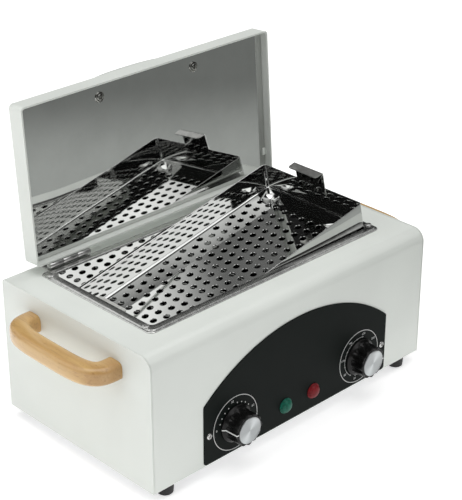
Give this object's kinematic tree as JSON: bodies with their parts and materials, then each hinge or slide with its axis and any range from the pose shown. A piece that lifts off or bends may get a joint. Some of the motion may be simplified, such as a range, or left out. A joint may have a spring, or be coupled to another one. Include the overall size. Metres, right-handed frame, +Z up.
{
  "type": "dry heat sterilizer",
  "caption": "Bench dry heat sterilizer: white sheet metal case with wooden side handles, mirror chamber, hinged lid, perforated tray, and a black panel with timer and thermostat knobs.",
  "frame": {"origin": "on the bench, under the middle of the case and between its four feet", "axes": "+X to the right along the front panel, +Y from the front to the hinges at the back, +Z up"},
  "size_m": [0.408, 0.2455, 0.2954],
  "materials": {
    "white_paint": "semi-gloss white enamel",
    "zinc_sheet": "zinc plated sheet",
    "foot_rubber": "matte black rubber",
    "screw_steel": "plated screws",
    "mirror_steel": "polished stainless sheet",
    "tray_steel": "polished stainless sheet",
    "hinge_steel": "plated hinge",
    "mineral_wool": "compressed mineral wool",
    "heater_steel": "dark tubular heater",
    "copper": "copper bulb and capillary",
    "moulded_plastic": "moulded switch bodies",
    "white_plastic": "white moulded handle",
    "black_plastic": "black moulded plastic",
    "black_panel": "satin black printed plate",
    "green_lens": "green lamp lens",
    "red_lens": "red lamp lens",
    "varnished_wood": "varnished light wood",
    "spun_aluminium": "spun aluminium cap"
  },
  "bodies": {
    "housing": {"housing_wrap": "white_paint", "side_panel_left": "white_paint", "side_panel_right": "white_paint", "base_plate": "zinc_sheet", "feet": "foot_rubber", "foot_screws": "screw_steel", "chamber": "mirror_steel", "rim_frame": "mirror_steel", "rim_screws": "screw_steel", "insulation": "mineral_wool", "heating_element": "heater_steel", "heater_clamps": "zinc_sheet", "thermostat": "moulded_plastic", "thermostat_bulb": "copper", "timer": "moulded_plastic", "terminal_block": "moulded_plastic", "power_inlet": "black_plastic", "inlet_screws": "screw_steel", "control_panel": "black_panel", "control_panel_screws": "screw_steel", "green_lens": "green_lens", "red_lens": "red_lens", "lamp_holders": "moulded_plastic", "side_handle_left": "varnished_wood", "side_handle_right": "varnished_wood", "side_handle_screws": "screw_steel", "hinge_fixed_leaves": "hinge_steel", "hinge_leaf_screws": "screw_steel"},
    "lid": {"lid_shell": "white_paint", "lid_liner": "mirror_steel", "lid_insulation": "mineral_wool", "liner_tabs": "white_paint", "lid_handle": "white_plastic", "lid_handle_screws": "screw_steel", "hinge_lid_leaves": "hinge_steel", "hinge_pins": "screw_steel"},
    "timer_dial": {"timer_knob": "black_plastic", "timer_knob_cap": "spun_aluminium", "timer_shaft": "screw_steel"},
    "thermostat_dial": {"thermostat_knob": "black_plastic", "thermostat_knob_cap": "spun_aluminium", "thermostat_shaft": "screw_steel"},
    "tray": {"tray": "tray_steel", "tray_tabs": "tray_steel"}
  },
  "joints": [
    {"name": "lid_hinge", "type": "hinge", "parent": "housing", "child": "lid", "pos_m": [0, 0.0799, 0.1456], "axis": [1, 0, 0], "range_deg": [0, 93.8]},
    {"name": "tray_tilt", "type": "hinge", "parent": "housing", "child": "tray", "pos_m": [-0.1267, 0.0065, 0.1364], "axis": [0, 1, 0], "range_deg": [0, 12.3]},
    {"name": "timer_turn", "type": "hinge", "parent": "housing", "child": "timer_dial", "pos_m": [-0.0762, -0.0975, 0.0407], "axis": [0, -1, 0], "range_deg": [-240, 60]},
    {"name": "thermostat_turn", "type": "hinge", "parent": "housing", "child": "thermostat_dial", "pos_m": [0.0826, -0.0975, 0.0407], "axis": [0, -1, 0], "range_deg": [-30, 240]}
  ],
  "couplings": [
    {"joint": "tray_tilt", "follows": "lid_hinge", "ratio": 0.13102}
  ]
}
